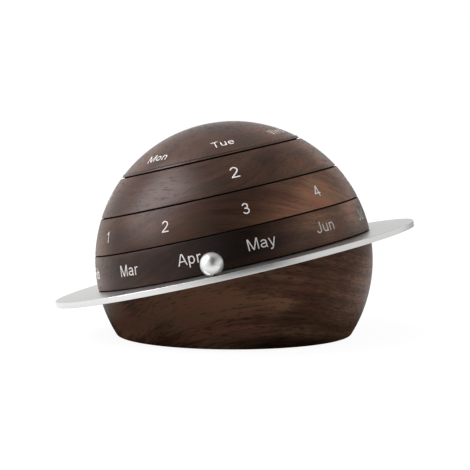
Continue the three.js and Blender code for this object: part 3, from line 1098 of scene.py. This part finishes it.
def make_base():
    """The wooden base, the pad under it and the plate on it."""
    vertices, faces = skin(base_rings(), True)
    base = cut_screw_holes(finish_mesh("base_wood", vertices, faces))
    settle(base, "base", WOODS["base"], "walnut", "base_body")

    pad_rim = box_profile(0, PAD_RADIUS, 0, PAD_THICKNESS, PAD_ROUND)[1:-1]
    pad_profile = [(0, 0), *pad_rim, (0, PAD_THICKNESS)]
    pad = turned("base_pad_foam", pad_profile, AROUND, Matrix.Identity(4))
    settle(pad, "base", foam, "pad", "base_pad")

    plate_profile = box_profile(BUSH_HOLE_RADIUS, PLATE_RADIUS, -PLATE_THICKNESS, 0, PLATE_ROUND)
    plate = turned("orbit_ring", plate_profile)
    settle(cut_screw_holes(plate), "base", plate_metal, "plate_steel", "orbit_plate")


def make_layers():
    """The three rings and the cap, in order from the plate up."""
    for i, name in enumerate(LAYER_NAMES):
        body = name + "_layer"
        bottom = i * LAYER_PITCH + (SEAM if i == 0 else SEAM / 2)
        top = (i + 1) * LAYER_PITCH - SEAM / 2
        if name == "weekday":
            wood = turned("weekday_cap_wood", cap_profile(bottom))
            settle(wood, body, WOODS[name], "walnut", "weekday_cap")
        else:
            wood = turned(name + "_ring_wood", layer_profile(bottom, top, i > 0))
            settle(wood, body, WOODS[name], "walnut", name + "_ring")


def make_ball():
    """The ball, with a small flat where it stands on the plate."""
    foot_latitude = -math.acos(BALL_FOOT_RADIUS / BALL_RADIUS)
    foot_height = BALL_RADIUS * math.sin(foot_latitude)
    outline = arc(0, 0, BALL_RADIUS, foot_latitude, math.pi / 2, SMALL_AROUND // 2)
    profile = [(0, foot_height), *outline[:-1], (0, BALL_RADIUS)]
    at = Vector((math.cos(BALL_BEARING), math.sin(BALL_BEARING), 0)) * BALL_ORBIT_RADIUS
    at.z = CONTACT_GAP - foot_height
    ball = turned("moon_ball_satin", profile, SMALL_AROUND, TO_DESK @ Matrix.Translation(at))
    settle(ball, "moon", ball_metal, "ball_steel", "moon_ball")


def make_lettering():
    """The printing of each layer. All angles are in degrees."""
    # Layer, piece, words, height, (number of the word shown, its bearing), latitude, nudges of single words
    rows = (
        ("month", "month_lettering", MONTHS, 3.95 * MM, (4, -68.4), 7.6, {"Mar": 1.25, "Apr": 0.8}),
        ("ones", "ones_figures", tuple("0123456789"), 4.05 * MM, (3, -70.7), 22.0, {"2": 0.5, "4": -0.3}),
        ("tens", "tens_figures", tuple("0123"), 4.7 * MM, (2, -70.2), 38.9, {}),
        ("weekday", "weekday_lettering", WEEKDAYS, 3.5 * MM, (1, -69.2), 57.0, {"Mon": -0.9, "Wed": 0.8}),
    )
    for layer, name, words, height, (shown, bearing), latitude, nudges in rows:
        start = first_bearing(shown, len(words), bearing)
        piece = lettering(name, words, height, start, math.radians(latitude), nudges)
        settle(piece, layer + "_layer", printing, "lettering")


def finish_hardware():
    """Materials of the carried-over pieces inside."""
    finishes = {"brass": brass, "nylon": nylon, "bright_steel": bright_steel}
    for part in frame["record"]["subparts"]:
        finish = finishes.get(part["material_slot"])
        if finish:
            node = frame["nodes"][part["node"]]
            node.data.materials.clear()
            node.data.materials.append(finish)


# Camera: the photograph's view, from the fit of a pinhole camera to the object's outline
CAMERA_AZIMUTH = math.radians(8.704)
CAMERA_ELEVATION = math.radians(5.547)
CAMERA_DISTANCE = 700 * MM
FOCAL_PIXELS = 1939
PHOTO_PIXELS = 470
SPHERE_PIXEL = (234.0, 259.7)
SENSOR_WIDTH = 36


def make_camera():
    """A camera aimed at the sphere's centre, then turned a little to put it on its pixel."""
    a, e = CAMERA_AZIMUTH, CAMERA_ELEVATION
    back = Vector((math.sin(a) * math.cos(e), -math.cos(a) * math.cos(e), math.sin(e)))
    right = Vector((math.cos(a), math.sin(a), 0))
    facing = Matrix((right, back.cross(right), back)).transposed()
    pitch = math.atan((SPHERE_PIXEL[1] - PHOTO_PIXELS / 2) / FOCAL_PIXELS)
    yaw = math.atan((SPHERE_PIXEL[0] - PHOTO_PIXELS / 2) / FOCAL_PIXELS)
    facing = facing @ Matrix.Rotation(pitch, 3, "X") @ Matrix.Rotation(yaw, 3, "Y")
    lens = bpy.data.cameras.new("camera")
    lens.sensor_width = SENSOR_WIDTH
    lens.lens = FOCAL_PIXELS / PHOTO_PIXELS * SENSOR_WIDTH
    lens.clip_start = 10 * MM
    camera = bpy.data.objects.new("camera", lens)
    camera.matrix_world = Matrix.Translation(CENTRE + back * CAMERA_DISTANCE) @ facing.to_4x4()
    bpy.context.scene.collection.objects.link(camera)
    bpy.context.scene.camera = camera


# Studio. A glow or gloss of 1 is white where it is seen or mirrored. ROOM_LIGHT falls evenly on everything.
FLOOR_SIZE = 6.0
FLOOR_COLOUR = (0.14, 0.14, 0.14, 1)
FLOOR_GLOW = 0.93
FLOOR_FADE = (0.15, 0.6)
FRONT_GLOSS = 0.3
HORIZON_GLOSS = 0.3
ROOM_LIGHT = 0.26
ROOM_GLOSS = 0.05

# Where the mirrored floor changes, in metres from the object
FLOOR_CLOSE = (0.05, 0.09)
FLOOR_ASIDE = (0.05, 0.25)
FLOOR_FRONT = (-0.12, -0.28)
FLOOR_RIGHT = (0.15, 0.35)

# Where the mirrored world changes: parts of its direction to the front, to the right and upwards
ROOM_FRONT = (0.5, 0.1)
ROOM_LEFT = (-0.05, -0.35)
ROOM_RIGHT = (0.28, 0.6)
CEILING_RISE = (0.2, 0.5)
CEILING_GLOSS = ((0.2, 0.55), (0.6, 0.40), (0.9, 0.65))
HORIZON_RISE = (0.0, 0.25)
HORIZON_START = (0.1, 0.3)
HORIZON_END = (0.5, 0.75)


def make_floor():
    """A white floor. Seen directly it glows a little, which leaves only a soft trace of the shadow."""
    half = FLOOR_SIZE / 2
    corners = [(-half, -half, 0), (half, -half, 0), (half, half, 0), (-half, half, 0)]
    floor = finish_mesh("floor", corners, [[0, 1, 2, 3]], Matrix.Identity(4))
    made, tree, shader = material("floor_white")
    shader.inputs["Base Color"].default_value = FLOOR_COLOUR
    shader.inputs["Roughness"].default_value = 1
    shader.inputs["Specular IOR Level"].default_value = 0
    rays = add(tree, "ShaderNodeLightPath").outputs
    seen = math_node(tree, "MAXIMUM", rays["Is Camera Ray"], rays["Is Glossy Ray"])
    seen = math_node(tree, "MAXIMUM", seen, rays["Is Transmission Ray"])
    place = object_place(tree)
    away = length_of(tree, place)
    level = remap(tree, away, *FLOOR_FADE, FLOOR_GLOW, 1.0)

    # Mirrored, it is dark close to the object, a painted shadow, and dimmer in front of it and to the right
    axes = add(tree, "ShaderNodeSeparateXYZ", {0: place}).outputs
    close = remap(tree, away, *FLOOR_CLOSE)
    aside = remap(tree, math_node(tree, "ABSOLUTE", axes["X"]), *FLOOR_ASIDE, FRONT_GLOSS, 1.0)
    in_front = remap(tree, axes["Y"], *FLOOR_FRONT, 1.0, aside)
    sideways = remap(tree, axes["X"], *FLOOR_RIGHT, 1.0, HORIZON_GLOSS)
    mirrored = math_node(tree, "MULTIPLY", math_node(tree, "MULTIPLY", close, in_front), sideways)
    level = remap(tree, rays["Is Glossy Ray"], 0, 1, level, mirrored)
    glow = add(tree, "ShaderNodeEmission", {"Strength": math_node(tree, "MULTIPLY", seen, level)})
    both = add(tree, "ShaderNodeAddShader", {0: shader.outputs[0], 1: glow.outputs[0]})
    tree.links.new(both.outputs[0], tree.nodes["Material Output"].inputs["Surface"])
    floor.data.materials.append(made)


def mirrored_room(tree, direction):
    """How bright gloss and metal show the world: white, but dim in front, overhead and low on the right."""
    front = (math.sin(CAMERA_AZIMUTH), -math.cos(CAMERA_AZIMUTH), 0)
    right = (math.cos(CAMERA_AZIMUTH), math.sin(CAMERA_AZIMUTH), 0)
    forward = dot(tree, direction, front)
    sideways = dot(tree, direction, right)
    upward = add(tree, "ShaderNodeSeparateXYZ", {0: direction}).outputs["Z"]

    leftward = remap(tree, sideways, *ROOM_LEFT)
    rightward = remap(tree, sideways, *ROOM_RIGHT)
    bright = math_node(tree, "MAXIMUM", leftward, rightward)
    bright = math_node(tree, "MAXIMUM", bright, remap(tree, forward, *ROOM_FRONT))
    bright = remap(tree, bright, 0, 1, ROOM_GLOSS, 1.0)

    ceiling = ramp(tree, sideways, [(at, (gloss, gloss, gloss)) for at, gloss in CEILING_GLOSS])
    bright = math_node(tree, "MULTIPLY", bright, remap(tree, upward, *CEILING_RISE, 1.0, ceiling))

    low_right = remap(tree, upward, *HORIZON_RISE, HORIZON_GLOSS, 1.0)
    horizon = remap(tree, sideways, *HORIZON_START, 1.0, low_right)
    horizon = remap(tree, sideways, *HORIZON_END, horizon, 1.0)
    return math_node(tree, "MULTIPLY", bright, horizon)


def make_world():
    """White where it is seen, a room where it is mirrored, and a soft even light for the rest."""
    world = bpy.data.worlds.new("studio")
    bpy.context.scene.world = world
    world.use_nodes = True
    tree = world.node_tree
    rays = add(tree, "ShaderNodeLightPath").outputs
    mirrored = mirrored_room(tree, add(tree, "ShaderNodeTexCoord").outputs["Generated"])
    seen = math_node(tree, "MAXIMUM", rays["Is Camera Ray"], rays["Is Transmission Ray"])
    strength = remap(tree, rays["Is Glossy Ray"], 0, 1, ROOM_LIGHT, mirrored)
    strength = remap(tree, seen, 0, 1, strength, 1.0)
    tree.links.new(strength, tree.nodes["Background"].inputs["Strength"])
    tree.nodes["Background"].inputs["Color"].default_value = (1, 1, 1, 1)


def softbox(name, azimuth, elevation, distance, width, height, radiance, colour, mirrored=True):
    """A soft light that faces the object, in metres and degrees. Gloss shows it only where it is mirrored."""
    lamp = bpy.data.lights.new(name, "AREA")
    lamp.shape = "RECTANGLE"
    lamp.size = width
    lamp.size_y = height
    lamp.energy = radiance * math.pi * width * height
    lamp.color = colour
    a, e = math.radians(azimuth), math.radians(elevation)
    out = Vector((math.sin(a) * math.cos(e), -math.cos(a) * math.cos(e), math.sin(e)))
    holder = bpy.data.objects.new(name, lamp)
    holder.visible_glossy = mirrored
    holder.location = CENTRE + out * distance
    holder.rotation_euler = out.to_track_quat("Z", "Y").to_euler()
    bpy.context.scene.collection.objects.link(holder)


make_camera()
make_base()
make_layers()
make_ball()
make_lettering()
finish_hardware()
make_floor()
make_world()
softbox(
    "window",
    azimuth=-76,
    elevation=37,
    distance=1.0,
    width=0.65,
    height=0.8,
    radiance=7.2,
    colour=(1.0, 0.95, 0.985),
)
softbox(
    "right_fill",
    azimuth=80,
    elevation=25,
    distance=1.2,
    width=0.8,
    height=0.8,
    radiance=2.2,
    colour=(1.0, 1.0, 1.0),
    mirrored=False,
)
softbox(
    "top_fill",
    azimuth=-20,
    elevation=75,
    distance=1.0,
    width=0.8,
    height=0.8,
    radiance=1.7,
    colour=(1.0, 1.0, 1.0),
    mirrored=False,
)

bpy.context.scene.view_settings.view_transform = "Standard"
